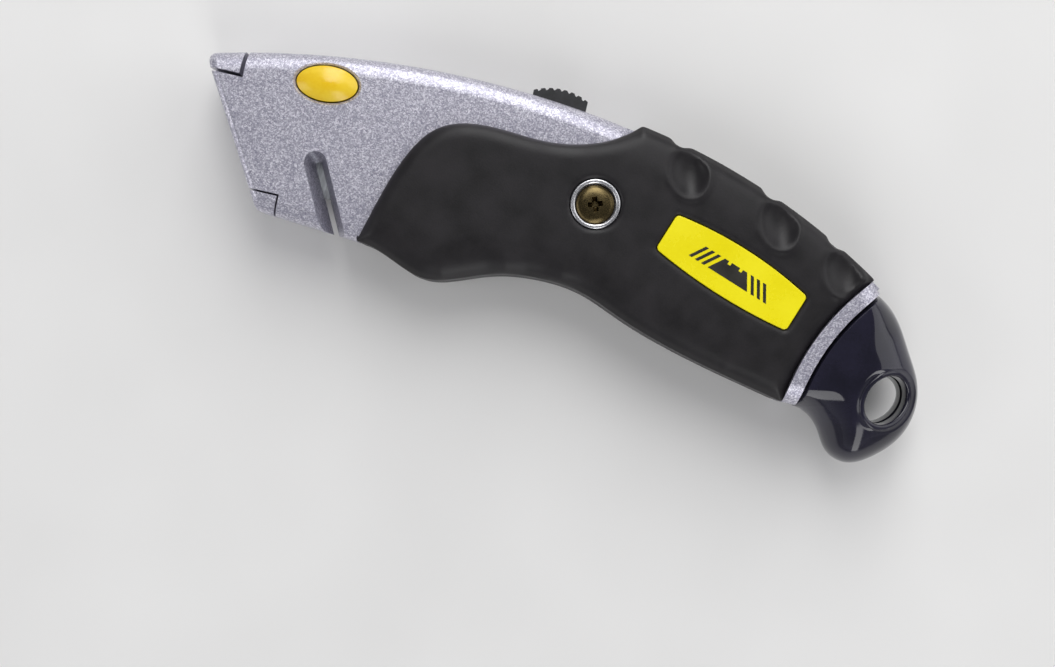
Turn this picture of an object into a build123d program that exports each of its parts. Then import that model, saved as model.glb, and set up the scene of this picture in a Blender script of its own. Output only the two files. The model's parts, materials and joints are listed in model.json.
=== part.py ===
from build123d import *
import math
import os

# Retractable utility knife with a quick-change nose and a rear blade magazine.
# Layout frame: X runs from the nose to the tail, Y towards the spine and Z towards the left side.
# The joint between the two body halves is the plane Z = 0. The last step moves everything so that
# the knife lies on its right side with the origin at the bottom centre of its box.

# ---- Body ----
BODY_HALF = 8.0            # half thickness of the painted body
GRIP_HALF = 11.5           # half thickness over the rubber grips
BAND_HALF = 10.9           # half thickness of the bare band behind the grips
SPLIT_GAP = 0.15           # half of the gap between the two rubber grips
SKIN = 1.2                 # rubber over the spine and belly of the body
WALL = 2.0                 # body wall
SPINE_FILLET = 4.0
BOTTOM_FILLET = 3.0
NOSE_FILLET = 1.5
GRIP_FILLET = 3.0
NOSE_TOP = (-1.35, 0.55)
NOSE_BOTTOM = (16.3, -29.4)
SPINE_CREST = (50.0, 7.8)
SPINE_END = (90.4, 4.55)
BELLY_START = (38.2, -31.0)

# ---- Rear band and tail cap ----
BAND_CENTRE = (181.7, -48.9)
BAND_INNER_R = 46.6
BAND_WIDTH = 3.0
CAP_GAP = 0.3
CAP_HALF = 10.5
CAP_FILLET = 4.0
CAP_TOP = (148.1, -17.4)
CAP_BOTTOM = (135.8, -44.2)
HOLE_CENTRE = (153.3, -38.8)
HOLE_TILT = 65.0           # direction of the hang hole's long axis from +X, degrees
HOLE_LONG, HOLE_SHORT = 5.5, 4.3
LIP_LONG, LIP_SHORT = 6.7, 5.45
LIP_RISE = 0.6

# ---- Blades ----
BLADE_LENGTH = 60.5
BLADE_BACK = 33.0
BLADE_HEIGHT = 19.0
BLADE_THICK = 0.6
BLADE_NOTCH_WIDTH = 3.0
BLADE_NOTCH_DEPTH = 3.2
BLADE_NOTCH_SPACING = 17.3
BLADE_BEVEL = 1.8
BLADE_TIP_X = 14.4         # front end of the cutting edge, blade retracted
BLADE_EDGE_Y = -23.6
BLADE_TRAVEL = 28.0

# ---- Carriage ----
PLATE_Z = (0.36, 3.0)      # carrier plate beside the blade
TOWER_X = (67.8, 78.5)
TOWER_HALF = 3.0
SLIDER_X = (67.3, 79.0)
SLIDER_HALF = 3.2
SLIDER_BASE_Y = 2.3
SLIDER_CREST_Y = 9.95
SLIDER_TRAVEL = 1.2
SLOT_HALF = 3.5
TOOTH_PITCH = 1.6
SLIDER_END_DROP = 1.4      # ends of the serrated crown below its middle
TOOTH_COUNT = 7
THUMB_PIN_R = 1.1
THUMB_PIN_LENGTH = 4.6
LEAF_Z = (-0.95, -0.45)
CARRIER_ARM = (50.3, 66.0, -13.5)   # front, rear and lower edge of the arm beside the blade
CARRIER_X = (65.0, 79.5)
CARRIER_LOW_Y = -22.0
HEEL_X = (61.9, 74.3)      # front of the heel at the blade's back and at the bottom
RIVET = (77.2, -10.5)
RIVET_R, RIVET_HEAD_R = 0.75, 1.5
PEG_R = 1.1

# ---- Release button ----
BUTTON_CENTRE = (25.1, -0.4)
BUTTON_TILT = 5.0
BUTTON_LONG, BUTTON_SHORT = 6.4, 3.7
BUTTON_GAP = 0.3
BUTTON_TRAVEL = 1.8
BUTTON_TOP = 9.1
BUTTON_DOME = (9.5, 5.6, 5.7)       # half axes of the spheroid that crowns the button
BUTTON_DISH = 0.5          # bevel round the button's hole
FLANGE_Z = (3.4, 4.6)
FLANGE_LONG, FLANGE_HALF = 8.2, 2.5
RELEASE_SPRING_Y = 0.9
RELEASE_SPRING_ROOM = (2.7, 6.2)    # radius and depth of its seat in the right half

# ---- Body screw ----
SCREW = (85.2, -12.6)
SCREW_SHANK_R = 2.0
SCREW_GAP = 0.15           # clearance round the shank
SCREW_HEAD_R = 4.1
SCREW_HEAD_Z = (7.6, 10.2)
CROSS_LENGTH, CROSS_WIDTH, CROSS_DEPTH = 4.6, 1.0, 1.6
CROSS_TURN = 20.0          # degrees from +X
CUP_R, CUP_BORE_R = 5.25, 4.25
CUP_Z = (6.4, 11.1)
NUT_FLATS = 7.0
NUT_Z = (-7.9, -4.7)
PIN_R = 1.25
PIN_HALF = 4.0
PIN_SPOTS = [(12.5, -0.5), (44.0, -27.7), (122.0, -8.0), (100.0, -31.8)]

# ---- String cutter ----
CUTTER_TOP = (26.4, -17.0)
CUTTER_LEAN = 26.9         # degrees from vertical
CUTTER_MOUTH, CUTTER_SLIT = 5.0, 1.0
CUTTER_RUN = 18.0          # length of the funnel, out past the belly

# ---- Hollows of the body ----
FAR = 12.0                 # height that clears the bare housing
CHAMBER_X = (36.5, 80.6)
CHAMBER_TOP_Y = 3.8
CHAMBER_EDGE_ROOM = 0.8    # room under the cutting edge
SPINE_SLOT_X = (38.5, 80.2)
RIB_Y = (-21.0, -8.0)      # lower edges of the two guide ribs
RIB_WIDTH = 1.5
RIB_GAP = 0.35
TOP_TAB = (6.75, -2.35)    # rear and lower edge of the right half's tab at the spine
TOP_TAB_GROOVE = (0.9, 0.7)
LOW_TAB = (20.1, -25.6)    # rear and upper edge of its tab at the belly
LOW_TAB_GROOVE = 0.4
LEAF_ROOM = (21.0, 37.0, -13.9)     # front, rear and lower edge of the room for arm and leaf
LEAF_ROOM_TOP_Y = -1.9

# ---- Magazine ----
MAG_START = (91.0, -12.7)
MAG_ANGLE = 19.4           # axis below +X, degrees
MAG_HALF_HEIGHT = 11.6
MAG_HALF_DEPTH = 4.4
MAG_TAIL = 60.6
MAG_GAP = 0.35
MAG_FLOOR = 1.4
MAG_RAIL = 1.7
MAG_LIP_Z = 3.1            # underside of the lips over the spare blades
MAG_POSTS = (18, 36)       # starts of the two posts along the magazine's axis
MAG_WINDOWS = (4, 42)      # starts of the two windows in its floor
CATCH_X = (24, 38)
CATCH_HALF = 3.2
CATCH_DEPTH = 0.7
SPARE_COUNT = 4
SPARE_PITCH = 0.65
SPARE_FIRST_Z = 0.7        # mid-plane of the lowest spare blade
SPARE_START = 0.2
CAP_PINS = [(56.0, -7.6), (57.6, -1.8)]     # along and across the magazine's axis
CAP_PIN_R = 1.0
CAP_PIN_HALF = 7.4

# ---- Badge ----
BADGE_CENTRE = (115.8, -20.2)
BADGE_HALF = (15.9, 4.15)
BADGE_BULGE_TOP, BADGE_BULGE_BOTTOM = 1.5, 1.1
BADGE_THICK = 1.0
BADGE_TOP = 11.4
BADGE_GAP = 0.15

# ---- Finger grooves in the grip's upper edge ----
GROOVE_SHARES = (0.150, 0.519, 0.806)   # places along the upper edge, from its front end
GROOVE_LEAN = -64.5        # direction of each groove over the side face, degrees from +X
NOTCH_R, NOTCH_DEPTH = 3.0, 0.95
TROUGH_LONG, TROUGH_R = 7.0, 5.1        # half length and radius of the spheroid that presses it
TROUGH_DEPTH = 1.7
TROUGH_REACH = 6.2         # its middle from the upper edge


# ---- Small tools ----
def block(x0, x1, y0, y1, z0, z1):
    """Box between two corners."""
    centre = Pos((x0 + x1) / 2, (y0 + y1) / 2, (z0 + z1) / 2)
    return centre * Box(x1 - x0, y1 - y0, z1 - z0)


def slab(outline, z0, z1):
    """Prism between two heights over a closed list of edges."""
    return Pos(0, 0, z0) * extrude(make_face(outline), amount=z1 - z0, dir=(0, 0, 1))


def polygon_slab(points, z0, z1):
    """Prism between two heights over a polygon."""
    return slab(Polyline(points, close=True).edges(), z0, z1)


def rod(x, y, z0, z1, radius):
    """Round bar along Z."""
    return Pos(x, y, (z0 + z1) / 2) * Cylinder(radius, z1 - z0)


def oval_slab(long, short, z0, z1):
    """Prism over an ellipse, its long axis along X."""
    return Pos(0, 0, z0) * extrude(Ellipse(long, short), amount=z1 - z0, dir=(0, 0, 1))


def coil(radius, wire, height, turns):
    """Compression spring along Z, standing on Z = 0."""
    rise = height - 2 * wire
    path = Pos(0, 0, wire) * Helix(pitch=rise / turns, height=rise, radius=radius)
    section = Plane(path @ 0, z_dir=path % 0) * Circle(wire)
    return sweep(section, path=path)


def bowed_leaf(length, rise, thick, width):
    """Leaf spring bowed towards +Y, its ends on Y = 0, centred on X and Z."""
    half = length / 2
    outline = [ThreePointArc((-half, 0), (0, rise - thick), (half, 0)),
               ThreePointArc((-half, thick), (0, rise), (half, thick)),
               Line((-half, 0), (-half, thick)),
               Line((half, 0), (half, thick))]
    return slab(outline, -width / 2, width / 2)


def edges_at(shape, z, keep):
    """Edges that lie at height z and whose middle passes the test."""
    return [e for e in shape.edges()
            if abs(e.bounding_box().min.Z - z) < 1e-3 and abs(e.bounding_box().max.Z - z) < 1e-3
            and keep(e.center())]


def on_magazine(shape):
    """Place a shape that was drawn along the magazine's own axis."""
    return Location((MAG_START[0], MAG_START[1], 0), (0, 0, -MAG_ANGLE)) * shape


def on_button(shape):
    """Place a shape that was drawn round the release button's centre."""
    return Location((BUTTON_CENTRE[0], BUTTON_CENTRE[1], 0), (0, 0, BUTTON_TILT)) * shape


def band_point(radius, y):
    """Point of the band's arc of that radius at height y."""
    dx = math.sqrt(radius ** 2 - (y - BAND_CENTRE[1]) ** 2)
    return (BAND_CENTRE[0] - dx, y)


def band_arc(radius, y_top, y_bottom):
    """Arc round the band's centre, from its upper to its lower end."""
    top, bottom = band_point(radius, y_top), band_point(radius, y_bottom)
    middle = band_point(radius, (y_top + y_bottom) / 2)
    return ThreePointArc(top, middle, bottom)


# ---- Outlines of body and grip ----
BELLY = [(132.2, -44.0), (118.0, -41.0), (106.0, -38.0), (96.0, -34.7), (86.0, -31.0),
         (77.0, -30.2), (68.0, -31.4), (60.0, -34.3), (54.0, -35.6), (47.5, -33.7), (38.3, -31.1)]
BORDER = [(38.3, -31.1), (44.0, -12.6), (50.4, -3.9), (59.6, -1.55), (71.5, -2.0), (82.3, -0.1),
          (91.2, 5.6)]
GRIP_TOP_MIDDLE = (117.5, -1.2)


def grip_outline():
    """Closed outline of one rubber grip."""
    band = band_arc(BAND_INNER_R + BAND_WIDTH + 0.02, -14.9, BELLY[0][1])
    belly = Spline([band @ 1] + BELLY[1:])
    top = ThreePointArc(BORDER[-1], GRIP_TOP_MIDDLE, band @ 0)
    return [top, band, belly, Spline(BORDER)]


def nose_block():
    """Bare front of one half, from the nose back along the spine."""
    spine = ThreePointArc(SPINE_END, SPINE_CREST, NOSE_TOP)
    rest = Polyline([NOSE_TOP, NOSE_BOTTOM, BELLY_START, (BELLY_START[0], -18), (SPINE_END[0], -6),
                     SPINE_END])
    body = slab([spine] + list(rest.edges()), 0, BODY_HALF)
    body = fillet(edges_at(body, BODY_HALF, lambda c: c.Y > 3), SPINE_FILLET)
    body = fillet(edges_at(body, BODY_HALF, lambda c: c.Y < -28), BOTTOM_FILLET)
    front = [f for f in body.faces() if f.normal_at().X < -0.5 and f.center().X < 12][0]
    return fillet([e for e in front.edges() if e.center().Z > 0.1], NOSE_FILLET)


def core_block():
    """Part of one half that lies under the rubber."""
    inset = [(x, y + SKIN) for x, y in BELLY[1:]]
    rear = band_arc(BAND_INNER_R + 1, -16.4, BELLY[0][1] + SKIN)
    corner = (BORDER[-1][0] - 3.0, BORDER[-1][1] - SKIN)
    top = ThreePointArc(corner, (GRIP_TOP_MIDDLE[0], GRIP_TOP_MIDDLE[1] - SKIN), rear @ 0)
    belly = Spline([rear @ 1] + inset)
    close = Polyline([inset[-1], (36.0, -27.0), (36.0, -12.0), (86.0, 0.0), corner])
    return slab([top, rear, belly] + list(close.edges()), 0, BODY_HALF)


def band_block():
    """Painted band that closes one half behind the grip."""
    outer = band_arc(BAND_INNER_R + BAND_WIDTH, -15.0, BELLY[0][1])
    inner = band_arc(BAND_INNER_R, CAP_TOP[1] + 0.1, CAP_BOTTOM[1] + 0.2)
    outline = [outer, inner, Line(outer @ 0, inner @ 0), Line(outer @ 1, inner @ 1)]
    body = slab(outline, 0, BAND_HALF)
    ends = edges_at(body, BAND_HALF, lambda c: c.Y > -17.5 or c.Y < -42.5)
    return fillet([e for e in ends if e.length < 2 * BAND_WIDTH], 5.0)


def half_envelope():
    """Outer form of one body half, without its hollows."""
    return nose_block() + core_block() + band_block()


# ---- Hollows that both halves share, drawn on the left side ----
def string_cutter():
    """Funnel that leads a string down to the cutting edge."""
    def mouth(width, z):
        radius, run = width / 2, CUTTER_RUN
        outline = [ThreePointArc((-radius, 0), (0, radius), (radius, 0)),
                   Line((radius, 0), (radius, -run)), Line((radius, -run), (-radius, -run)),
                   Line((-radius, -run), (-radius, 0))]
        return Pos(0, 0, z) * make_face(outline)
    funnel = loft([mouth(CUTTER_SLIT, 0.0), mouth(CUTTER_MOUTH, BODY_HALF + 0.4)])
    return Location((CUTTER_TOP[0], CUTTER_TOP[1], 0), (0, 0, CUTTER_LEAN)) * funnel


def shared_hollows():
    """Everything that is cut out of both halves in the same way."""
    half = BLADE_THICK / 2
    back_y = BLADE_EDGE_Y + BLADE_HEIGHT
    blade_slot = block(-6, 77, BLADE_EDGE_Y - 0.4, back_y + 0.4, 0, half + 0.3)
    chamber = block(*CHAMBER_X, BLADE_EDGE_Y - CHAMBER_EDGE_ROOM, CHAMBER_TOP_Y, 0, BODY_HALF - WALL)
    spine_slot = block(*SPINE_SLOT_X, CHAMBER_TOP_Y - 0.8, FAR, 0, SLOT_HALF)
    reach = MAG_HALF_HEIGHT + MAG_GAP
    depth = MAG_HALF_DEPTH + MAG_GAP
    magazine = on_magazine(block(-1.5, 75, -reach, reach, 0, depth))
    relief = on_magazine(block(3, 49, -8.5, 8.5, 0, BODY_HALF - WALL))
    pins = [rod(x, y, 0, PIN_HALF + 0.2, PIN_R + 0.03) for x, y in PIN_SPOTS]
    return [blade_slot, chamber, spine_slot, magazine, relief, string_cutter()] + pins


def joined(pieces):
    """All pieces in one shape."""
    whole = pieces[0]
    for piece in pieces[1:]:
        whole = whole + piece
    return whole


def guide_ribs():
    """Ribs that keep the carrier in line inside the chamber."""
    x0, x1 = CHAMBER_X[0] + 0.1, CHAMBER_X[1]
    return [block(x0, x1, y, y + RIB_WIDTH, PLATE_Z[1] + RIB_GAP, BODY_HALF - WALL + 0.1)
            for y in RIB_Y]


def carve(solid, tools):
    """Cut each tool from the solid."""
    for tool in tools:
        solid = solid - tool
    return solid


def build_halves():
    """The left and the right body half."""
    envelope = half_envelope()
    bare = carve(envelope, shared_hollows())
    for rib in guide_ribs():
        bare = bare + rib
    front_x, low_y = -6.0, -40.0
    top_tab = block(front_x, TOP_TAB[0], TOP_TAB[1], FAR, 0, FAR)
    top_room = block(front_x, TOP_TAB[0] + TOP_TAB_GROOVE[0], TOP_TAB[1] - TOP_TAB_GROOVE[1], FAR,
                     0, FAR)
    low_tab = block(0, LOW_TAB[0], low_y, LOW_TAB[1], 0, FAR)
    low_room = block(0, LOW_TAB[0] + LOW_TAB_GROOVE, low_y, LOW_TAB[1] + LOW_TAB_GROOVE, 0, FAR)
    cup_room = rod(*SCREW, CUP_Z[0], FAR, CUP_R + 0.05)
    shank_room = rod(*SCREW, -1, FAR, SCREW_SHANK_R + SCREW_GAP)
    button_room = on_button(oval_slab(BUTTON_LONG + BUTTON_GAP, BUTTON_SHORT + BUTTON_GAP, 0, FAR))
    flange_room = on_button(block(-FLANGE_LONG - BUTTON_GAP, FLANGE_LONG + BUTTON_GAP,
                                  -FLANGE_HALF - BUTTON_GAP, FLANGE_HALF + BUTTON_GAP, 0,
                                  FLANGE_Z[1] + 0.02))
    front, rear, low = LEAF_ROOM
    depth = PLATE_Z[1] + RIB_GAP
    arm_room = block(front, rear, low, LEAF_ROOM_TOP_Y - 1.1, 0, depth)
    left = carve(bare, [top_room, low_room, cup_room, shank_room, button_room, flange_room,
                        arm_room])
    rim = [e for e in edges_at(left, BODY_HALF, lambda c: True)
           if math.dist((e.center().X, e.center().Y), BUTTON_CENTRE) < BUTTON_LONG + 1]
    left = chamfer(rim, BUTTON_DISH)

    leaf_room = block(front, rear, low, LEAF_ROOM_TOP_Y, 0, depth)
    spring_room = rod(BUTTON_CENTRE[0], RELEASE_SPRING_Y, 0, RELEASE_SPRING_ROOM[1],
                      RELEASE_SPRING_ROOM[0])
    nut_room = rod(*SCREW, 0, FAR, SCREW_SHANK_R + SCREW_GAP)
    right = mirror(carve(bare, [leaf_room, spring_room, nut_room]), about=Plane.XY)
    hexagon = RegularPolygon(NUT_FLATS / 2 + 0.03, 6, major_radius=False)
    nut_pocket = Pos(SCREW[0], SCREW[1], -BODY_HALF - 1) * extrude(
        hexagon, amount=NUT_Z[1] + BODY_HALF + 1.1, dir=(0, 0, 1))
    right = right - nut_pocket
    tabs = (envelope & top_tab) + (envelope & low_tab)
    return left, right + tabs


# ---- Rubber grips ----
def grip_blank():
    """One grip with rounded outer edges, before anything is cut from it."""
    body = slab(grip_outline(), SPLIT_GAP, GRIP_HALF)
    return fillet(edges_at(body, GRIP_HALF, lambda c: True), GRIP_FILLET)


def finger_grooves():
    """Three grooves: a notch across the upper edge that runs out into a leaning trough."""
    top = grip_outline()[0]
    lean = math.radians(GROOVE_LEAN)
    spheroid = scale(Sphere(TROUGH_R), by=(TROUGH_LONG / TROUGH_R, 1, 1))
    tools = []
    for share in GROOVE_SHARES:
        edge, along = top @ share, top % share
        outside = NOTCH_R - NOTCH_DEPTH
        tools.append(rod(edge.X - along.Y * outside, edge.Y + along.X * outside, 0, FAR, NOTCH_R))
        middle = (edge.X + TROUGH_REACH * math.cos(lean), edge.Y + TROUGH_REACH * math.sin(lean),
                  GRIP_HALF + TROUGH_R - TROUGH_DEPTH)
        tools.append(Location(middle, (0, 0, GROOVE_LEAN)) * spheroid)
    return tools


def badge_outline(margin):
    """Barrel shaped outline of the badge, larger by a margin."""
    x, y = BADGE_HALF[0] + margin, BADGE_HALF[1] + margin
    return [ThreePointArc((-x, -y), (0, -y - BADGE_BULGE_BOTTOM), (x, -y)),
            Line((x, -y), (x, y)),
            ThreePointArc((x, y), (0, y + BADGE_BULGE_TOP), (-x, y)),
            Line((-x, y), (-x, -y))]


def on_badge(shape):
    """Place a shape that was drawn round the badge's centre."""
    return Location((BADGE_CENTRE[0], BADGE_CENTRE[1], 0), (0, 0, -MAG_ANGLE)) * shape


def build_grip(envelope, with_cup):
    """Left grip, or the mirror blank of the right one."""
    pocket = on_badge(slab(badge_outline(BADGE_GAP), BADGE_TOP - BADGE_THICK - 0.05, FAR))
    body = carve(grip_blank(), [envelope, pocket] + finger_grooves())
    if with_cup:
        body = body - rod(*SCREW, 0, FAR, CUP_R + 0.1)
    return body


def build_badge():
    """Left badge plate."""
    plate = slab(badge_outline(0.0), BADGE_TOP - BADGE_THICK, BADGE_TOP)
    corners = [e for e in plate.edges() if abs(e.length - BADGE_THICK) < 1e-3]
    return on_badge(fillet(corners, 1.0))


# ---- Screw, cup, nut and pins ----
def build_screw():
    """Cross head body screw."""
    head = rod(*SCREW, *SCREW_HEAD_Z, SCREW_HEAD_R)
    head = fillet(edges_at(head, SCREW_HEAD_Z[1], lambda c: True), 1.0)
    body = head + rod(*SCREW, NUT_Z[0] + 0.3, SCREW_HEAD_Z[0], SCREW_SHANK_R)
    for angle in (CROSS_TURN, CROSS_TURN + 90):
        cross = Box(CROSS_LENGTH, CROSS_WIDTH, 2 * CROSS_DEPTH)
        body = body - Location((SCREW[0], SCREW[1], SCREW_HEAD_Z[1]), (0, 0, angle)) * cross
    return body


def build_cup():
    """Bright cup that the screw head sits in."""
    cup = rod(*SCREW, *CUP_Z, CUP_R) - rod(*SCREW, SCREW_HEAD_Z[0], FAR, CUP_BORE_R)
    cup = cup - rod(*SCREW, 0, FAR, SCREW_SHANK_R + SCREW_GAP)
    return fillet(edges_at(cup, CUP_Z[1], lambda c: True), 0.35)


def build_nut():
    """Hexagon nut held in the right half."""
    hexagon = extrude(RegularPolygon(NUT_FLATS / 2, 6, major_radius=False), amount=NUT_Z[1] - NUT_Z[0])
    nut = Pos(SCREW[0], SCREW[1], NUT_Z[0]) * hexagon
    return nut - rod(*SCREW, -12, 0, SCREW_SHANK_R)


def build_pins():
    """Four dowel pins that line the halves up."""
    return joined([rod(x, y, -PIN_HALF, PIN_HALF, PIN_R) for x, y in PIN_SPOTS])


# ---- Blades ----
def blade_solid():
    """Trapezoid blade, edge along +X from the origin, back towards +Y, centred on Z = 0."""
    slant = (BLADE_LENGTH - BLADE_BACK) / 2
    half = BLADE_THICK / 2
    flat = polygon_slab([(0, 0), (BLADE_LENGTH, 0), (BLADE_LENGTH - slant, BLADE_HEIGHT),
                         (slant, BLADE_HEIGHT)], -half, half)
    for side in (-1, 1):
        wedge = Plane.YZ * Polyline([(-1, side * 0.02), (BLADE_BEVEL, side * half), (-1, side * 3)],
                                    close=True)
        flat = flat - extrude(make_face(wedge.edges()), amount=BLADE_LENGTH + 2, dir=(1, 0, 0))
    for offset in (-BLADE_NOTCH_SPACING / 2, BLADE_NOTCH_SPACING / 2):
        x = BLADE_LENGTH / 2 + offset
        radius = BLADE_NOTCH_WIDTH / 2
        root = BLADE_HEIGHT - BLADE_NOTCH_DEPTH + radius
        flat = flat - rod(x, root, -1, 1, radius)
        flat = flat - block(x - radius, x + radius, root, BLADE_HEIGHT + 1, -1, 1)
    return flat


def build_cutting_blade():
    """Blade in the carrier, retracted."""
    return Pos(BLADE_TIP_X, BLADE_EDGE_Y, 0) * blade_solid()


def build_spare(index):
    """One spare blade in the magazine, edge towards the spine."""
    z = SPARE_FIRST_Z + index * SPARE_PITCH
    turned = Rot(180, 0, 0) * blade_solid()
    return on_magazine(Pos(SPARE_START, BLADE_HEIGHT / 2, z) * turned)


# ---- Carriage ----
def rear_notch_x():
    """Place of the blade's rear notch along X."""
    return BLADE_TIP_X + BLADE_LENGTH / 2 + BLADE_NOTCH_SPACING / 2


def build_carrier():
    """Carrier: a plate beside the blade, a heel behind it and a tower up into the spine slot."""
    back_y = BLADE_EDGE_Y + BLADE_HEIGHT
    arm = block(CARRIER_ARM[0], CARRIER_ARM[1], CARRIER_ARM[2], back_y - 0.3, *PLATE_Z)
    body = block(*CARRIER_X, CARRIER_LOW_Y, back_y + 0.3, *PLATE_Z)
    heel = polygon_slab([(HEEL_X[0], back_y + 0.3), (CARRIER_X[1], back_y + 0.3),
                         (CARRIER_X[1], CARRIER_LOW_Y), (HEEL_X[1], CARRIER_LOW_Y)],
                        LEAF_Z[1] + 0.02, 1.0)
    tower = block(*TOWER_X, back_y + 0.3, 1.0, -TOWER_HALF, TOWER_HALF)
    carrier = arm + body + heel + tower
    x = (TOWER_X[0] + TOWER_X[1]) / 2
    well = Location((x, -0.7, 0), (90, 0, 0)) * Cylinder(2.5, 3.6)
    bore = Location((x, -1.7, 0), (90, 0, 0)) * Cylinder(THUMB_PIN_R + 0.1, THUMB_PIN_LENGTH)
    rivet = rod(*RIVET, -2, 2.2, RIVET_R)
    return carrier - well - bore - rivet


def build_lock_spring():
    """Leaf whose peg holds the blade by its rear notch."""
    x = rear_notch_x()
    strip = block(51.5, 79.2, -13.0, -8.0, *LEAF_Z)
    tab = block(50.6, x + 2.6, -9.0, -2.5, *LEAF_Z)
    peg = rod(x, -6.1, LEAF_Z[1] - 0.1, BLADE_THICK / 2, PEG_R)
    return strip + tab + peg - rod(*RIVET, -2, 1, RIVET_R)


def build_lock_rivet():
    """Rivet that fixes the leaf to the carrier."""
    head = rod(*RIVET, LEAF_Z[0] - 0.6, LEAF_Z[0], RIVET_HEAD_R)
    return rod(*RIVET, LEAF_Z[0], 2.2, RIVET_R) + head


def build_detent_spring():
    """Bowed leaf under the carrier that clicks it in at both ends of its travel."""
    gap = CARRIER_LOW_Y - (BLADE_EDGE_Y - CHAMBER_EDGE_ROOM)
    leaf = Rot(180, 0, 0) * bowed_leaf(13.5, gap - 0.35, 0.3, 2.2)
    middle = sum(CARRIER_X) / 2
    return Pos(middle, CARRIER_LOW_Y - 0.02, sum(PLATE_Z) / 2) * leaf


def build_thumb_slider():
    """Serrated thumb piece in the spine slot."""
    x0, x1 = SLIDER_X
    end_y = SLIDER_CREST_Y - SLIDER_END_DROP
    top = ThreePointArc((x0, end_y), ((x0 + x1) / 2, SLIDER_CREST_Y), (x1, end_y))
    sides = Polyline([(x1, end_y), (x1, SLIDER_BASE_Y), (x0, SLIDER_BASE_Y), (x0, end_y)])
    pad = slab([top] + list(sides.edges()), -SLIDER_HALF, SLIDER_HALF)
    for i in range(TOOTH_COUNT):
        u = (i - (TOOTH_COUNT - 1) / 2) * TOOTH_PITCH
        y = SLIDER_CREST_Y - SLIDER_END_DROP * (2 * u / (x1 - x0)) ** 2
        groove = Location(((x0 + x1) / 2 + u, y, 0), (0, 0, 45)) * Box(0.7, 0.7, 2 * SLIDER_HALF + 2)
        pad = pad - groove
    x = (TOWER_X[0] + TOWER_X[1]) / 2
    pin = Cylinder(THUMB_PIN_R, THUMB_PIN_LENGTH)
    return pad + Location((x, SLIDER_BASE_Y - 2.2, 0), (90, 0, 0)) * pin


def build_thumb_spring():
    """Coil under the thumb slider, at its pressed length."""
    x = (TOWER_X[0] + TOWER_X[1]) / 2
    base, height = -2.45, SLIDER_BASE_Y - SLIDER_TRAVEL + 2.35
    return Location((x, base, 0), (-90, 0, 0)) * coil(2.0, 0.28, height, 4)


# ---- Release button ----
def build_release_button():
    """Oval button with ears that stop it under the wall, and a pin that reaches the leaf."""
    cap = on_button(oval_slab(BUTTON_LONG, BUTTON_SHORT, FLANGE_Z[0], BUTTON_TOP))
    dome = Pos(0, 0, BUTTON_TOP - BUTTON_DOME[2]) * scale(Sphere(1), by=BUTTON_DOME)
    cap = cap & on_button(dome)
    ears = on_button(block(-FLANGE_LONG, FLANGE_LONG, -FLANGE_HALF, FLANGE_HALF, *FLANGE_Z))
    low = LEAF_Z[1] + BUTTON_TRAVEL + 0.1
    pin = rod(rear_notch_x() - BLADE_TRAVEL, -3.35, low, FLANGE_Z[0] + 1, 0.6)
    seat = rod(BUTTON_CENTRE[0], RELEASE_SPRING_Y, FLANGE_Z[0] - 1, FLANGE_Z[0] + 0.5, 1.3)
    return cap + ears + pin + seat


def build_release_spring():
    """Coil between the right half and the button."""
    seat = RELEASE_SPRING_ROOM[1]
    height = FLANGE_Z[0] + seat - 0.02
    return Pos(BUTTON_CENTRE[0], RELEASE_SPRING_Y, 0.01 - seat) * coil(2.0, 0.25, height, 6)


# ---- Magazine ----
def build_magazine_frame():
    """Tray with a closed rail over the cutting edges and an open side at the notches."""
    h, d = MAG_HALF_HEIGHT, MAG_HALF_DEPTH
    rail, lip_z = MAG_RAIL, MAG_LIP_Z
    floor = block(-1, MAG_TAIL, -h, h, -d, -d + MAG_FLOOR)
    edge_rail = block(-1, MAG_TAIL, h - rail, h, -d, d)
    edge_lip = block(-1, MAG_TAIL, h - rail - 1.5, h - rail + 0.1, lip_z, d)
    front = block(-1, 0, -h, h, -d, d)
    back_rail = block(-1, MAG_TAIL, -h, -h + rail, -d, 0)
    frame = floor + edge_rail + edge_lip + front + back_rail
    for s in MAG_POSTS:
        post = block(s, s + 8, -h, -h + rail, -0.1, d)
        lip = block(s, s + 8, -h + rail - 0.1, -h + rail + 1.0, lip_z, d)
        frame = frame + post + lip
    tail = polygon_slab([(48.6, -h), (MAG_TAIL, -h), (MAG_TAIL, 6.5), (58.9, 6.5), (48.6, -8.0)], -d, d)
    frame = frame + tail
    windows = [block(s, s + 10, -6, 6, -d - 1, -d + MAG_FLOOR + 0.1)
               for s in MAG_WINDOWS]
    pins = [rod(s, t, -FAR, FAR, CAP_PIN_R) for s, t in CAP_PINS]
    return on_magazine(carve(frame, windows + pins + [catch_seat(0.3)]))


def build_magazine_spring():
    """Bowed leaf that presses the spare blades up against the lips."""
    low = -MAG_HALF_DEPTH + MAG_FLOOR + 0.02
    high = SPARE_FIRST_Z - BLADE_THICK / 2 - 0.02
    leaf = Rot(90, 0, 0) * bowed_leaf(37, high - low, 0.35, 6.0)
    return on_magazine(Pos(28.5, 0, low) * leaf)


def catch_seat(margin):
    """Recess in the tray's underside for the magazine catch."""
    x0, x1 = CATCH_X[0] - margin, CATCH_X[1] + margin
    half = CATCH_HALF + margin
    return block(x0, x1, -half, half, -MAG_HALF_DEPTH - 1, -MAG_HALF_DEPTH + CATCH_DEPTH)


def build_magazine_catch():
    """Bowed leaf on the tray that holds the magazine in the handle."""
    leaf = Rot(-90, 0, 0) * bowed_leaf(CATCH_X[1] - CATCH_X[0] - 0.4, CATCH_DEPTH + 0.2, 0.3, 6.0)
    return on_magazine(Pos(sum(CATCH_X) / 2, 0, -MAG_HALF_DEPTH + CATCH_DEPTH - 0.02) * leaf)


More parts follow.
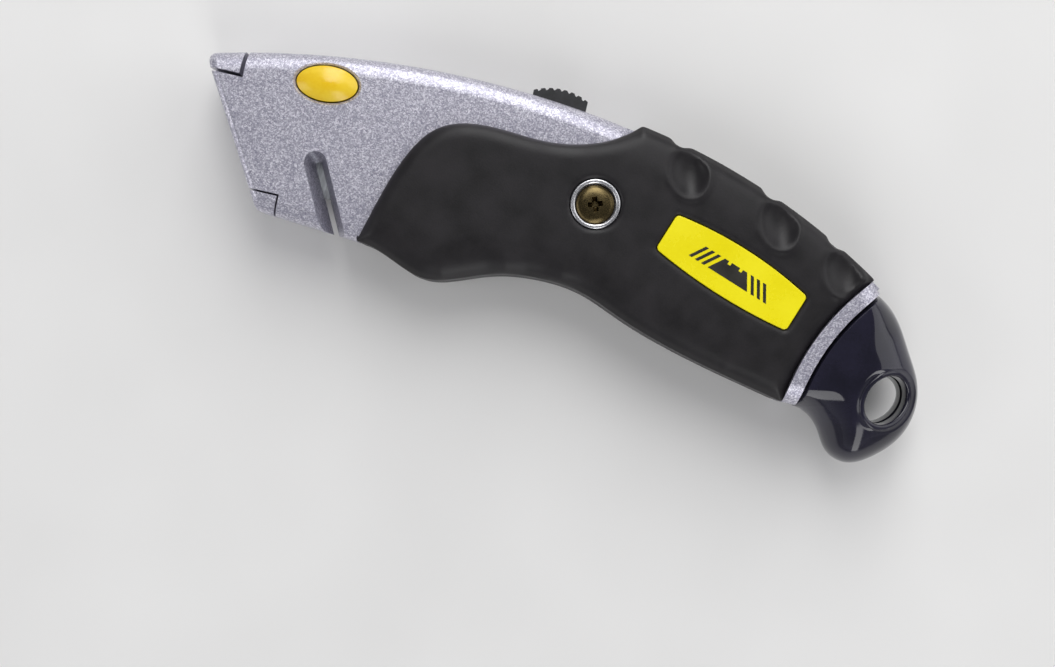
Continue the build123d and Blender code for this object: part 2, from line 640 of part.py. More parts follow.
def build_tail_cap():
    """Hooked cap with the hang hole, hollow at the front for the magazine's tail."""
    front = band_arc(BAND_INNER_R - CAP_GAP, CAP_TOP[1], CAP_BOTTOM[1])
    back = Spline([front @ 0, (152.6, -20.9), (157.0, -27.6), (160.2, -33.5), (161.1, -39.1),
                   (159.4, -45.4), (154.4, -51.0), (148.9, -53.5), (144.8, -52.0), (142.0, -47.9),
                   (138.9, -45.1), front @ 1])
    body = slab([front, back], -CAP_HALF, CAP_HALF)
    for z in (CAP_HALF, -CAP_HALF):
        body = fillet(edges_at(body, z, lambda c: c.X > 147), CAP_FILLET)
    lip_z = CAP_HALF + LIP_RISE
    tilt = Location((HOLE_CENTRE[0], HOLE_CENTRE[1], 0), (0, 0, HOLE_TILT))
    body = body + tilt * oval_slab(LIP_LONG, LIP_SHORT, -lip_z, lip_z)
    body = body - tilt * oval_slab(HOLE_LONG, HOLE_SHORT, -FAR, FAR)
    reach = MAG_HALF_HEIGHT + 0.1
    room = on_magazine(block(40, MAG_TAIL + 0.2, -reach, reach, -MAG_HALF_DEPTH - 0.1,
                             MAG_HALF_DEPTH + 0.1))
    half = CAP_PIN_HALF + 0.1
    pins = [on_magazine(rod(s, t, -half, half, CAP_PIN_R)) for s, t in CAP_PINS]
    return carve(body, [room] + pins)


def build_cap_pins():
    """Two pins that hold the cap on the magazine frame."""
    return joined([on_magazine(rod(s, t, -CAP_PIN_HALF, CAP_PIN_HALF, CAP_PIN_R))
                   for s, t in CAP_PINS])


# ---- Assembly ----
def mirrored(shape):
    """The same piece on the right side."""
    return mirror(shape, about=Plane.XY)


def build_all():
    """Every node by name, in the layout frame."""
    envelope = half_envelope()
    left, right = build_halves()
    badge = build_badge()
    nodes = {
        "left_housing": left,
        "right_housing": right,
        "left_grip": build_grip(envelope, True),
        "right_grip": mirrored(build_grip(envelope, False)),
        "left_badge": badge,
        "right_badge": mirrored(badge),
        "housing_screw": build_screw(),
        "screw_cup": build_cup(),
        "screw_nut": build_nut(),
        "alignment_pins": build_pins(),
        "release_button": build_release_button(),
        "release_spring": build_release_spring(),
        "thumb_slider": build_thumb_slider(),
        "thumb_spring": build_thumb_spring(),
        "blade_carrier": build_carrier(),
        "lock_spring": build_lock_spring(),
        "lock_rivet": build_lock_rivet(),
        "detent_spring": build_detent_spring(),
        "cutting_blade": build_cutting_blade(),
        "magazine_frame": build_magazine_frame(),
        "magazine_spring": build_magazine_spring(),
        "magazine_catch": build_magazine_catch(),
        "tail_cap": build_tail_cap(),
        "cap_pins": build_cap_pins(),
    }
    for index in range(SPARE_COUNT):
        nodes[f"spare_blade_{index + 1}"] = build_spare(index)
    return nodes


def write_all():
    """Move every node to the shared frame and write it."""
    nodes = build_all()
    boxes = [shape.bounding_box() for shape in nodes.values()]
    low_x, high_x = min(b.min.X for b in boxes), max(b.max.X for b in boxes)
    low_y, high_y = min(b.min.Y for b in boxes), max(b.max.Y for b in boxes)
    low_z, high_z = min(b.min.Z for b in boxes), max(b.max.Z for b in boxes)
    shift = Pos(-(low_x + high_x) / 2, -(low_y + high_y) / 2, -low_z)
    print("shift", shift.position, "size", high_x - low_x, high_y - low_y, high_z - low_z)
    os.makedirs("parts", exist_ok=True)
    for name, shape in nodes.items():
        export_step(shift * shape, f"parts/{name}.step")


write_all()
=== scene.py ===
"""Looks of a retractable utility knife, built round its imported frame.

A length in a class field is in millimetres, unless it says metres. So is a point in a numpy array. Blender's
own coordinates are in metres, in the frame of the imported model: +X runs from the nose to the tail,
+Y towards the spine, and +Z out of the left side, where the screw, the badge and the button are.
"""

import json
import logging
import math
from dataclasses import dataclass
from enum import Enum
from typing import Any, Sequence

import bmesh
import bpy
import numpy as np
from mathutils import Matrix, Vector
from mathutils.bvhtree import BVHTree


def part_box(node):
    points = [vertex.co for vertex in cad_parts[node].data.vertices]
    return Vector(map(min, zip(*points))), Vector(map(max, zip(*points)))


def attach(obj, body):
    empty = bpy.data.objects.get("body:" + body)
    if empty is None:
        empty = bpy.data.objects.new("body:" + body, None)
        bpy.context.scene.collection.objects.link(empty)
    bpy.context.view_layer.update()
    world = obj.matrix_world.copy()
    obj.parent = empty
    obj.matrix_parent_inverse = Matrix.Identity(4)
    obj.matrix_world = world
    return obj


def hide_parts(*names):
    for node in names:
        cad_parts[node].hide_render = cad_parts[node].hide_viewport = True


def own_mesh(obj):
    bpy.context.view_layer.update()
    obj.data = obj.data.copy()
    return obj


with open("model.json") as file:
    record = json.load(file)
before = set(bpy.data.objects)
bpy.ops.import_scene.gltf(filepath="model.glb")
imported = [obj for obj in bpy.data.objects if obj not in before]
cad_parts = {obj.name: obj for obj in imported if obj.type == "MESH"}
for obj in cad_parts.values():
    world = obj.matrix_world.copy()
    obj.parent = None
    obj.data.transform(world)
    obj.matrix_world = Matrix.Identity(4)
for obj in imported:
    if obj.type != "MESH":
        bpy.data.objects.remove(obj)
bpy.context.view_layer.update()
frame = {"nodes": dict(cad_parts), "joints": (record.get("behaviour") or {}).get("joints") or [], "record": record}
MM = 0.001
LOG = logging.getLogger("knife")

Tree = bpy.types.NodeTree
Socket = bpy.types.NodeSocket
Piece = bpy.types.Object


class Side(Enum):
    """Half of the knife. The value is the sign of its outward Z."""

    LEFT = 1
    RIGHT = -1

    def name_of(self, part: str) -> str:
        """Name of that part on this side."""
        return f"{self.name.lower()}_{part}"

    def flipped(self, points: np.ndarray, middle: float) -> np.ndarray:
        """Points of this side drawn as on the left one, or back again.

        Args:
            points: Points in millimetres, one a row.
            middle: Height of the joint between the halves.

        Returns:
            The points, mirrored if the side is the right one.
        """
        if self is Side.LEFT:
            return points
        return points * (1, 1, -1) + (0, 0, 2 * middle)


# ---- Colour and nodes ----
def linear(colour: str) -> tuple[float, float, float, float]:
    """Turn an sRGB hex colour into linear light.

    Args:
        colour: A hash sign and six hex digits.

    Returns:
        Red, green, blue and an alpha of 1.
    """
    values = [int(colour[i:i + 2], 16) / 255 for i in (1, 3, 5)]
    bright = [v / 12.92 if v <= 0.04045 else ((v + 0.055) / 1.055) ** 2.4 for v in values]
    return (*bright, 1.0)


def per_metre(size: float) -> float:
    """Texture scale at which one feature is that many millimetres wide."""
    return 1 / (size * MM)


def add_node(tree: Tree, kind: str, inputs: dict[Any, Any] | None = None,
             stops: Sequence[tuple[float, str]] = (), **settings: Any) -> bpy.types.Node:
    """Add a node with its settings and links.

    Args:
        tree: Tree that gets the node.
        kind: Blender's name of the node type.
        inputs: A value, or the socket that feeds it, by the input's name or number.
        stops: Places and hex colours, if the node is a colour ramp.
        settings: Attributes of the node itself.

    Returns:
        The new node.
    """
    node = tree.nodes.new(kind)
    for name, value in settings.items():
        setattr(node, name, value)
    for key, value in (inputs or {}).items():
        if isinstance(value, Socket):
            tree.links.new(value, node.inputs[key])
        else:
            node.inputs[key].default_value = value
    for index, (place, colour) in enumerate(stops):
        if index >= len(node.color_ramp.elements):
            node.color_ramp.elements.new(place)
        node.color_ramp.elements[index].position = place
        node.color_ramp.elements[index].color = linear(colour)
    return node


class Finish:
    """A surface finish. Each kind says what feeds the surface shader."""

    name: str

    def surface(self, tree: Tree, place: Socket) -> dict[str, Any]:
        """Add the nodes of the finish.

        Args:
            tree: Tree that gets them.
            place: Coordinates on the piece, in metres.

        Returns:
            Values and sockets for the surface shader's inputs.
        """
        raise NotImplementedError

    def material(self) -> bpy.types.Material:
        """Build the material, or hand out the one that is already built.

        Returns:
            The material.
        """
        known = bpy.data.materials.get(self.name)
        if known:
            return known
        material = bpy.data.materials.new(self.name)
        material.use_nodes = True
        tree = material.node_tree
        tree.nodes.clear()
        place = add_node(tree, "ShaderNodeTexCoord").outputs["Object"]
        shader = add_node(tree, "ShaderNodeBsdfPrincipled", self.surface(tree, place))
        add_node(tree, "ShaderNodeOutputMaterial", {"Surface": shader.outputs["BSDF"]})
        return material


@dataclass(frozen=True)
class SparklePaint(Finish):
    """Silver sparkle paint, sprayed on a zinc casting: flakes under a thin clear coat, the lightest of them
    near-white as painted highlights.
    """

    name: str = "zinc_casting_sprayed"
    shade: str = "#8c8a9b"
    body: str = "#b0aebc"
    # near-white colour of the lightest flakes: a painted highlight, not a colour of the paint
    painted_glint: str = "#eceaf2"
    flake: float = 0.24         # real flakes are under 0.1 mm; drawn coarse enough to show
    drift: float = 0.9          # where the flakes lie thicker

    def surface(self, tree: Tree, place: Socket) -> dict[str, Any]:
        """Random flake colour and tilt, gathered a little in soft drifts; the lightest flakes are painted
        highlights.

        Args:
            tree: Tree that gets the nodes.
            place: Coordinates on the piece, in metres.

        Returns:
            Values and sockets for the surface shader's inputs.
        """
        flakes = add_node(tree, "ShaderNodeTexVoronoi", {"Vector": place, "Scale": per_metre(self.flake)})
        part = add_node(tree, "ShaderNodeSeparateColor", {"Color": flakes.outputs["Color"]})
        drift = add_node(tree, "ShaderNodeTexNoise",
                         {"Vector": place, "Scale": per_metre(self.drift), "Detail": 2.0})
        mixed = add_node(tree, "ShaderNodeMath", {0: drift.outputs["Fac"], 1: 0.5, 2: part.outputs["Red"]},
                         operation="MULTIPLY_ADD")
        share = add_node(tree, "ShaderNodeMapRange",
                         {"Value": mixed.outputs["Value"], "From Min": 0.1, "From Max": 1.4})
        # The top stop paints highlights: random flakes turned near-white.
        colour = add_node(tree, "ShaderNodeValToRGB", {"Fac": share.outputs["Result"]},
                          [(0.05, self.shade), (0.5, self.body), (0.97, self.painted_glint)])
        rough = add_node(tree, "ShaderNodeMapRange",
                         {"Value": part.outputs["Green"], "To Min": 0.3, "To Max": 0.5})
        tilt = add_node(tree, "ShaderNodeBump",
                        {"Height": part.outputs["Blue"], "Distance": 0.015 * MM, "Strength": 0.3})
        return {"Base Color": colour.outputs["Color"], "Metallic": 0.6,
                "Roughness": rough.outputs["Result"], "Normal": tilt.outputs["Normal"],
                "Coat Weight": 0.35, "Coat Roughness": 0.2}


@dataclass(frozen=True)
class MouldedRubber(Finish):
    """Black thermoplastic rubber, moulded in a spark-eroded tool: a soft matt skin with faint mottling."""

    name: str = "rubber_moulded"
    dark: str = "#110f11"
    light: str = "#1e1b1e"
    grain: float = 0.35         # eroded grain is 0.05 mm; drawn coarse enough to show
    mottle: float = 6.0

    def surface(self, tree: Tree, place: Socket) -> dict[str, Any]:
        """Fine grain in height, broad mottling in colour and gloss.

        Args:
            tree: Tree that gets the nodes.
            place: Coordinates on the piece, in metres.

        Returns:
            Values and sockets for the surface shader's inputs.
        """
        mottle = add_node(tree, "ShaderNodeTexNoise",
                          {"Vector": place, "Scale": per_metre(self.mottle), "Detail": 4.0})
        grain = add_node(tree, "ShaderNodeTexNoise",
                         {"Vector": place, "Scale": per_metre(self.grain), "Detail": 2.0})
        mixed = add_node(tree, "ShaderNodeMath", {0: grain.outputs["Fac"], 1: 0.35, 2: mottle.outputs["Fac"]},
                         operation="MULTIPLY_ADD")
        colour = add_node(tree, "ShaderNodeValToRGB", {"Fac": mixed.outputs["Value"]},
                          [(0.45, self.dark), (0.9, self.light)])
        rough = add_node(tree, "ShaderNodeMapRange",
                         {"Value": mottle.outputs["Fac"], "From Min": 0.3, "From Max": 0.7,
                          "To Min": 0.38, "To Max": 0.5})
        bump = add_node(tree, "ShaderNodeBump",
                        {"Height": grain.outputs["Fac"], "Distance": 0.05 * MM, "Strength": 0.3})
        return {"Base Color": colour.outputs["Color"], "Roughness": rough.outputs["Result"],
                "IOR": 1.52, "Specular IOR Level": 0.35, "Normal": bump.outputs["Normal"]}


@dataclass(frozen=True)
class GlossMoulding(Finish):
    """Hard plastic moulded in a polished tool: deep gloss that wavers a little along the flow."""

    name: str
    dark: str
    light: str
    rough: tuple[float, float] = (0.08, 0.16)
    wave: float = 9.0
    haze: float = 0.7

    def surface(self, tree: Tree, place: Socket) -> dict[str, Any]:
        """Slow waves in height and colour, fine haze in gloss.

        Args:
            tree: Tree that gets the nodes.
            place: Coordinates on the piece, in metres.

        Returns:
            Values and sockets for the surface shader's inputs.
        """
        wave = add_node(tree, "ShaderNodeTexNoise",
                        {"Vector": place, "Scale": per_metre(self.wave), "Detail": 1.0})
        haze = add_node(tree, "ShaderNodeTexNoise",
                        {"Vector": place, "Scale": per_metre(self.haze), "Detail": 2.0})
        mixed = add_node(tree, "ShaderNodeMath", {0: haze.outputs["Fac"], 1: 0.3, 2: wave.outputs["Fac"]},
                         operation="MULTIPLY_ADD")
        colour = add_node(tree, "ShaderNodeValToRGB", {"Fac": mixed.outputs["Value"]},
                          [(0.4, self.dark), (0.9, self.light)])
        rough = add_node(tree, "ShaderNodeMapRange",
                         {"Value": mixed.outputs["Value"], "From Min": 0.45, "From Max": 0.85,
                          "To Min": self.rough[0], "To Max": self.rough[1]})
        bump = add_node(tree, "ShaderNodeBump",
                        {"Height": wave.outputs["Fac"], "Distance": 0.05 * MM, "Strength": 0.2})
        return {"Base Color": colour.outputs["Color"], "Roughness": rough.outputs["Result"],
                "IOR": 1.53, "Normal": bump.outputs["Normal"]}


@dataclass(frozen=True)
class FilledNylon(Finish):
    """Black glass-filled nylon, moulded: satin, with a swirl of fibres near the skin."""

    name: str = "nylon_moulded"
    dark: str = "#141416"
    light: str = "#29292c"
    swirl: float = 1.8

    def surface(self, tree: Tree, place: Socket) -> dict[str, Any]:
        """One swirl drives colour, gloss and height.

        Args:
            tree: Tree that gets the nodes.
            place: Coordinates on the piece, in metres.

        Returns:
            Values and sockets for the surface shader's inputs.
        """
        swirl = add_node(tree, "ShaderNodeTexNoise",
                         {"Vector": place, "Scale": per_metre(self.swirl), "Detail": 4.0,
                          "Distortion": 0.6})
        colour = add_node(tree, "ShaderNodeValToRGB", {"Fac": swirl.outputs["Fac"]},
                          [(0.35, self.dark), (0.7, self.light)])
        rough = add_node(tree, "ShaderNodeMapRange",
                         {"Value": swirl.outputs["Fac"], "From Min": 0.3, "From Max": 0.7,
                          "To Min": 0.36, "To Max": 0.52})
        bump = add_node(tree, "ShaderNodeBump",
                        {"Height": swirl.outputs["Fac"], "Distance": 0.04 * MM, "Strength": 0.4})
        return {"Base Color": colour.outputs["Color"], "Roughness": rough.outputs["Result"],
                "IOR": 1.53, "Normal": bump.outputs["Normal"]}


@dataclass(frozen=True)
class GrainedMetal(Finish):
    """Bare or plated metal with a fine grain, stretched where it was ground or drawn."""

    name: str
    dark: str
    light: str
    rough: tuple[float, float]
    stretch: tuple[float, float, float] = (0.04, 1.0, 1.0)
    grain: float = 0.35         # grinding lines are under 0.05 mm; drawn coarse enough to show
    patch: float = 4.0

    def surface(self, tree: Tree, place: Socket) -> dict[str, Any]:
        """Stretched grain over soft patches.

        Args:
            tree: Tree that gets the nodes.
            place: Coordinates on the piece, in metres.

        Returns:
            Values and sockets for the surface shader's inputs.
        """
        along = add_node(tree, "ShaderNodeMapping", {"Vector": place, "Scale": self.stretch})
        grain = add_node(tree, "ShaderNodeTexNoise",
                         {"Vector": along.outputs["Vector"], "Scale": per_metre(self.grain), "Detail": 3.0})
        patch = add_node(tree, "ShaderNodeTexNoise",
                         {"Vector": place, "Scale": per_metre(self.patch), "Detail": 2.0})
        mixed = add_node(tree, "ShaderNodeMath", {0: patch.outputs["Fac"], 1: 0.5, 2: grain.outputs["Fac"]},
                         operation="MULTIPLY_ADD")
        colour = add_node(tree, "ShaderNodeValToRGB", {"Fac": mixed.outputs["Value"]},
                          [(0.5, self.dark), (0.95, self.light)])
        rough = add_node(tree, "ShaderNodeMapRange",
                         {"Value": grain.outputs["Fac"], "From Min": 0.3, "From Max": 0.7,
                          "To Min": self.rough[0], "To Max": self.rough[1]})
        bump = add_node(tree, "ShaderNodeBump",
                        {"Height": grain.outputs["Fac"], "Distance": 0.01 * MM, "Strength": 0.3})
        return {"Base Color": colour.outputs["Color"], "Metallic": 1.0,
                "Roughness": rough.outputs["Result"], "Normal": bump.outputs["Normal"]}


@dataclass(frozen=True)
class PaleCard(Finish):
    """Matt card under the knife, with a faint cloudiness of the pulp."""

    name: str = "floor_card_matt"
    cloud: float = 60.0

    def surface(self, tree: Tree, place: Socket) -> dict[str, Any]:
        """Soft clouds in a nearly white grey.

        Args:
            tree: Tree that gets the nodes.
            place: Coordinates on the piece, in metres.

        Returns:
            Values and sockets for the surface shader's inputs.
        """
        cloud = add_node(tree, "ShaderNodeTexNoise",
                         {"Vector": place, "Scale": per_metre(self.cloud), "Detail": 2.0})
        colour = add_node(tree, "ShaderNodeValToRGB", {"Fac": cloud.outputs["Fac"]},
                          [(0.3, "#e8e7e5"), (0.7, "#efeeec")])
        return {"Base Color": colour.outputs["Color"], "Roughness": 0.7}


# Cool silver grey with points of painted highlight, and sparkle where tilted flakes catch the lamps.
PAINT = SparklePaint()
# Soft matt black with faint cloudy patches.
RUBBER = MouldedRubber()
# Dull dark plastic with a faint swirl in its sheen.
NYLON = FilledNylon()
# Blue-black with sharp, wet-looking highlights.
CAP_ABS = GlossMoulding("abs_black_polished", "#171622", "#242233", (0.07, 0.14))
# Bright lemon yellow with a soft gloss.
BADGE_ABS = GlossMoulding("abs_yellow_polished", "#f0e000", "#fbee08", (0.22, 0.34), 12.0)
# Warm amber yellow, a little glossier than the badge.
BUTTON_ABS = GlossMoulding("abs_amber_polished", "#ecbe14", "#f8d636", (0.16, 0.26), 5.0)
# Nearly black print, duller than the plate under it.
MARK_INK = GlossMoulding("ink_pad_printed", "#14120c", "#221f16", (0.35, 0.5), 3.0, 0.3)
# Grey steel drawn over with fine ground lines.
BLADE_STEEL = GrainedMetal("tool_steel_ground", "#85898c", "#c6c9cc", (0.34, 0.46), (1.0, 0.05, 1.0))
# Brownish brass yellow that shines through a fine grain.
SCREW_STEEL = GrainedMetal("steel_yellow_passivated", "#463d2c", "#7d6e4a", (0.2, 0.3), (1, 1, 1), 0.14)
# Bright, even silver with a satin sheen.
CUP_ZINC = GrainedMetal("zinc_satin_plated", "#c9c9cd", "#efeff2", (0.2, 0.3), (1, 1, 1), 0.2)
# Mid-grey metal, glossier than the ground blades.
DRAWN_STEEL = GrainedMetal("spring_steel_drawn", "#6a6c70", "#b4b6ba", (0.22, 0.36))


# ---- Mesh work ----
def points_of(mesh: bpy.types.Mesh) -> np.ndarray:
    """Vertex places of a mesh in millimetres, one a row.

    Args:
        mesh: Mesh to read.

    Returns:
        Array with a row of x, y and z for each vertex.
    """
    flat = np.empty(len(mesh.vertices) * 3)
    mesh.vertices.foreach_get("co", flat)
    return flat.reshape(-1, 3) / MM


def put_points(mesh: bpy.types.Mesh, points: np.ndarray) -> None:
    """Move the vertices of a mesh to places in millimetres."""
    mesh.vertices.foreach_set("co", (points * MM).ravel())
    mesh.update()


def edges_of(mesh: bpy.types.Mesh) -> np.ndarray:
    """Vertex numbers of each edge, one edge a row.

    Args:
        mesh: Mesh to read.

    Returns:
        Array with a row of two vertex numbers for each edge.
    """
    flat = np.empty(len(mesh.edges) * 2, np.int64)
    mesh.edges.foreach_get("vertices", flat)
    return flat.reshape(-1, 2)


def ramp(values: np.ndarray, low: float, high: float) -> np.ndarray:
    """Smooth step from 0 at the low value to 1 at the high one."""
    share = np.clip((values - low) / (high - low), 0, 1)
    return share * share * (3 - 2 * share)


def new_piece(name: str, points: Sequence, faces: Sequence) -> Piece:
    """Make an object with a smooth mesh.

    Args:
        name: Name of the object and its mesh.
        points: Vertex places in metres.
        faces: Vertex numbers of each face.

    Returns:
        The object, linked to the scene.
    """
    mesh = bpy.data.meshes.new(name)
    mesh.from_pydata([tuple(p) for p in points], [], [tuple(f) for f in faces])
    mesh.validate()
    mesh.shade_smooth()
    piece = bpy.data.objects.new(name, mesh)
    bpy.context.scene.collection.objects.link(piece)
    return piece


def node_shape(node: str) -> tuple[list[Vector], list[list[int]]]:
    """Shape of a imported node, its split corners merged again.

    Args:
        node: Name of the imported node.

    Returns:
        Vertex places in metres, and the vertex numbers of each face, flat faces joined into one.
    """
    form = bmesh.new()
    form.from_mesh(frame["nodes"][node].data)
    bmesh.ops.remove_doubles(form, verts=form.verts[:], dist=0.001 * MM)
    bmesh.ops.dissolve_limit(form, angle_limit=math.radians(0.5), verts=form.verts[:], edges=form.edges[:])
    form.verts.index_update()
    shape = [v.co.copy() for v in form.verts], [[v.index for v in f.verts] for f in form.faces]
    form.free()
    return shape


def apply_modifiers(piece: Piece) -> None:
    """Replace the piece's mesh by what its modifiers make of it.

    Args:
        piece: Piece with the modifiers.
    """
    bpy.context.view_layer.update()
    graph = bpy.context.evaluated_depsgraph_get()
    rough = piece.data
    shaped = bpy.data.meshes.new_from_object(piece.evaluated_get(graph))
    piece.modifiers.clear()
    piece.data = shaped
    bpy.data.meshes.remove(rough)
    shaped.name = piece.name


def ease(piece: Piece, easing: float, corner: float = 28.0) -> Piece:
    """Round the sharp edges of a piece.

    Args:
        piece: The piece.
        easing: Width of the rounded edges.
        corner: Degrees from which an edge counts as sharp.

    Returns:
        The same piece.
    """
    bevel = piece.modifiers.new("easing", "BEVEL")
    bevel.width = easing * MM
    bevel.segments = 3
    bevel.angle_limit = math.radians(corner)
    bevel.use_clamp_overlap = True
    bevel.harden_normals = True
    apply_modifiers(piece)
    return piece


def eased(node: str, name: str, easing: float) -> Piece:
    """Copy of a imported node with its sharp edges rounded."""
    return ease(new_piece(name, *node_shape(node)), easing)


def stacked(name: str, outlines: Sequence[Sequence[Vector]]) -> Piece:
    """Make a closed solid through a stack of outlines.

    Args:
        name: Name of the piece.
        outlines: Outlines in metres, lowest first, each anticlockwise with the same number of points.

    Returns:
        The piece.
    """
    count, last = len(outlines[0]), len(outlines) - 1
    faces = [[k * count + i, k * count + (i + 1) % count,
              (k + 1) * count + (i + 1) % count, (k + 1) * count + i]
             for k in range(last) for i in range(count)]
    faces += [list(range(count))[::-1], [last * count + i for i in range(count)]]
    return new_piece(name, [point for outline in outlines for point in outline], faces)


def cut(piece: Piece, tools: Sequence[Piece]) -> None:
    """Cut solids out of a piece and do away with them.

    Args:
        piece: The piece.
        tools: The solids that are cut out of it.
    """
    for tool in tools:
        cutting = piece.modifiers.new("cut", "BOOLEAN")
        cutting.operation = "DIFFERENCE"
        cutting.solver = "EXACT"
        cutting.object = tool
    apply_modifiers(piece)
    for tool in tools:
        bpy.data.meshes.remove(tool.data)


def relaxed(points: np.ndarray, edges: np.ndarray, rounds: int, share: float | np.ndarray) -> np.ndarray:
    """Even out a surface by moving each point towards the middle of its neighbours.

    Args:
        points: Points, one a row.
        edges: Point numbers of each edge.
        rounds: How often it is done.
        share: Part of the way that a point moves, one number or one for each point.

    Returns:
        The moved points.
    """
    count = np.bincount(edges.ravel(), minlength=len(points))[:, None]
    share = np.broadcast_to(share, len(points))[:, None]
    for _ in range(rounds):
        total = np.zeros_like(points)
        np.add.at(total, edges[:, 0], points[edges[:, 1]])
        np.add.at(total, edges[:, 1], points[edges[:, 0]])
        points = points + share * (total / np.maximum(count, 1) - points)
    return points


def dress(node: str, finish: Finish) -> None:
    """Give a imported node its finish.

    Args:
        node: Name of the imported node.
        finish: Finish that replaces what it came with.
    """
    mesh = frame["nodes"][node].data
    mesh.materials.clear()
    mesh.materials.append(finish.material())


def fit(piece: Piece, body: str, slot: str, finish: Finish, *replaced: str) -> None:
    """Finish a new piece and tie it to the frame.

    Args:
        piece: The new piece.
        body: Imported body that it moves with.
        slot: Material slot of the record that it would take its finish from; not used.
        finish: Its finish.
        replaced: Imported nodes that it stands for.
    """
    piece.data.materials.clear()
    piece.data.materials.append(finish.material())
    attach(piece, body)
    if replaced:
        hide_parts(*replaced)
    LOG.info("made %s with %d faces", piece.name, len(piece.data.polygons))


def middle_height() -> float:
    """Height of the joint between the two halves, in millimetres."""
    low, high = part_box("alignment_pins")
    return (low.z + high.z) / 2 / MM


def handle_axis() -> Vector:
    """Direction of the handle, along which the magazine slides."""
    joint = next(j for j in frame["joints"] if j["name"] == "magazine_slide")
    return Vector(joint["axis"]).normalized()


# ---- Studio ----
@dataclass(frozen=True)
class Softbox:
    """Lamp behind a diffuser, aimed at the knife. Lengths are in metres."""

    name: str
    right: float                # place to the right in the picture
    up: float                   # place towards the top of the picture
    over: float                 # height
    width: float
    height: float
    glow: float                 # radiance of its face


@dataclass
class Studio:
    """Pale floor, softboxes, a dim sky and the camera above the knife."""

    view_width: float = 218.0   # width of the picture at the height of the grip's face
    camera_height: float = 400.0
    roll: float = 12.9          # degrees by which the knife's X axis points down to the right
    centre: tuple[float, float] = (-2.8, -20.1)
    sensor: float = 36.0
    zenith_glow: float = 0.16
    horizon_glow: float = 0.5
    sky_low: float = 0.35       # heights in the sky between which the glow changes
    sky_high: float = 0.95
    floor_half: float = 2.0     # half the floor's side, in metres
    floor_cells: int = 40
    floor_flat: float = 1.2     # radius of the flat middle, in metres
    floor_curl: float = 0.5     # how fast it rises further out, in metres over metres squared
    clip_start: float = 0.01    # in metres
    lamps: tuple[Softbox, ...] = (
        Softbox("key_softbox", 0.05, 0.62, 0.55, 1.1, 0.36, 3.8),
        Softbox("tail_softbox", 0.68, 0.30, 0.46, 0.9, 0.8, 1.1),
        Softbox("belly_softbox", 0.1, -0.60, 0.42, 0.9, 0.24, 2.6),
        Softbox("nose_softbox", -0.70, -0.15, 0.42, 0.5, 0.45, 1.4))

    def axes(self) -> tuple[Vector, Vector]:
        """Directions to the right and to the top of the picture."""
        turn = math.radians(self.roll)
        return Vector((math.cos(turn), math.sin(turn), 0)), Vector((-math.sin(turn), math.cos(turn), 0))

    def build(self) -> None:
        """Make the floor, the lamps, the sky and the camera."""
        bpy.context.scene.view_settings.view_transform = "Standard"
        self.build_floor()
        self.build_lamps()
        self.build_sky()
        self.build_camera(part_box("left_grip")[1].z)

    def build_floor(self) -> None:
        """Large floor that curves up softly far from the knife."""
        form = bmesh.new()
        bmesh.ops.create_grid(form, x_segments=self.floor_cells, y_segments=self.floor_cells,
                              size=self.floor_half)
        for vert in form.verts:
            vert.co.z = self.floor_curl * max(0.0, vert.co.length - self.floor_flat) ** 2
        form.verts.index_update()
        floor = new_piece("studio_floor", [v.co for v in form.verts],
                          [[v.index for v in f.verts] for f in form.faces])
        form.free()
        floor.data.materials.append(PaleCard().material())

    def build_lamps(self) -> None:
        """Area lamps that all face the knife."""
        right, up = self.axes()
        for box in self.lamps:
            data = bpy.data.lights.new(box.name, "AREA")
            data.shape = "RECTANGLE"
            data.size, data.size_y = box.width, box.height
            data.energy = box.glow * math.pi * box.width * box.height
            lamp = bpy.data.objects.new(box.name, data)
            spot = right * box.right + up * box.up + Vector((0, 0, box.over))
            lamp.matrix_world = Matrix.Translation(spot) @ spot.to_track_quat("Z", "X").to_matrix().to_4x4()
            bpy.context.scene.collection.objects.link(lamp)

    def build_sky(self) -> None:
        """Even light that is dimmer straight overhead, as under a dark studio ceiling."""
        world = bpy.data.worlds.new("studio_sky")
        world.use_nodes = True
        tree = world.node_tree
        tree.nodes.clear()
        heading = add_node(tree, "ShaderNodeTexCoord").outputs["Generated"]
        height = add_node(tree, "ShaderNodeSeparateXYZ", {"Vector": heading})
        glow = add_node(tree, "ShaderNodeMapRange",
                        {"Value": height.outputs["Z"], "From Min": self.sky_low, "From Max": self.sky_high,
                         "To Min": self.horizon_glow, "To Max": self.zenith_glow})
        sky = add_node(tree, "ShaderNodeBackground",
                       {"Color": linear("#e9ebf2"), "Strength": glow.outputs["Result"]})
        add_node(tree, "ShaderNodeOutputWorld", {"Surface": sky.outputs["Background"]})
        bpy.context.scene.world = world

    def build_camera(self, face: float) -> None:
        """Camera straight above the knife.

        Args:
            face: Height of the grip's face in metres.
        """
        right, up = self.axes()
        data = bpy.data.cameras.new("main_camera")
        data.sensor_width = self.sensor
        data.lens = self.sensor * self.camera_height / self.view_width
        data.clip_start = self.clip_start
        camera = bpy.data.objects.new("main_camera", data)
        spot = Vector((self.centre[0] * MM, self.centre[1] * MM, face + self.camera_height * MM))
        turn = Matrix((right, up, right.cross(up))).transposed().to_4x4()
        camera.matrix_world = Matrix.Translation(spot) @ turn
        bpy.context.scene.collection.objects.link(camera)
        bpy.context.scene.camera = camera


# ---- The knife ----
@dataclass
class Housing:
    """The two painted body halves, with the pins that line them up."""

    def build(self) -> None:
        """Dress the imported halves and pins."""
        for side in Side:
            dress(side.name_of("housing"), PAINT)
        dress("alignment_pins", DRAWN_STEEL)


